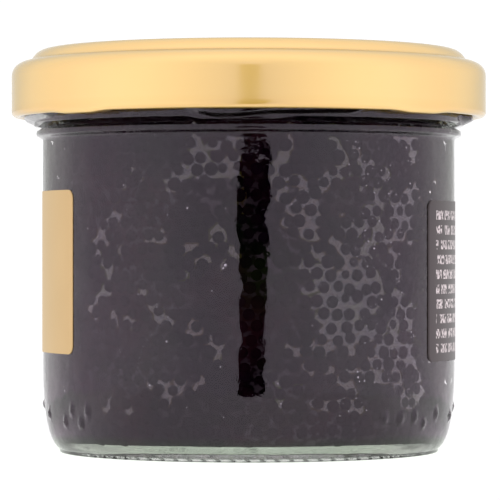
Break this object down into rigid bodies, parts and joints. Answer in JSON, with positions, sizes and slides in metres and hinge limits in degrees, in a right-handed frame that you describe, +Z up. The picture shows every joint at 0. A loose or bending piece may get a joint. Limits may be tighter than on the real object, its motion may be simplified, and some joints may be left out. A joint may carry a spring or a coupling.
{
  "type": "jar of black lumpfish caviar",
  "caption": "Squat clear glass jar filled with black lumpfish caviar, shut with a gold twist-off lid, with a gold label and a dark label on its sides.",
  "frame": {"origin": "centre of the foot ring, on the surface that the jar stands on", "axes": "+Z up along the jar's axis, -X through the middle of the gold front label, +X through the middle of the dark back label"},
  "size_m": [0.0666, 0.0666, 0.0563],
  "materials": {
    "glass": "clear moulded glass, faintly green in the base",
    "gold_lacquer": "pale gold lacquered tinplate, satin",
    "black_roe": "wet black roe in dark jelly",
    "gold_label": "gold label film, soft sheen",
    "dark_label": "dark olive label film with pale print"
  },
  "bodies": {
    "root": {"jar_glass": "glass", "lid": "gold_lacquer", "caviar": "black_roe", "label_front": "gold_label", "label_back": "dark_label"}
  },
  "joints": []
}
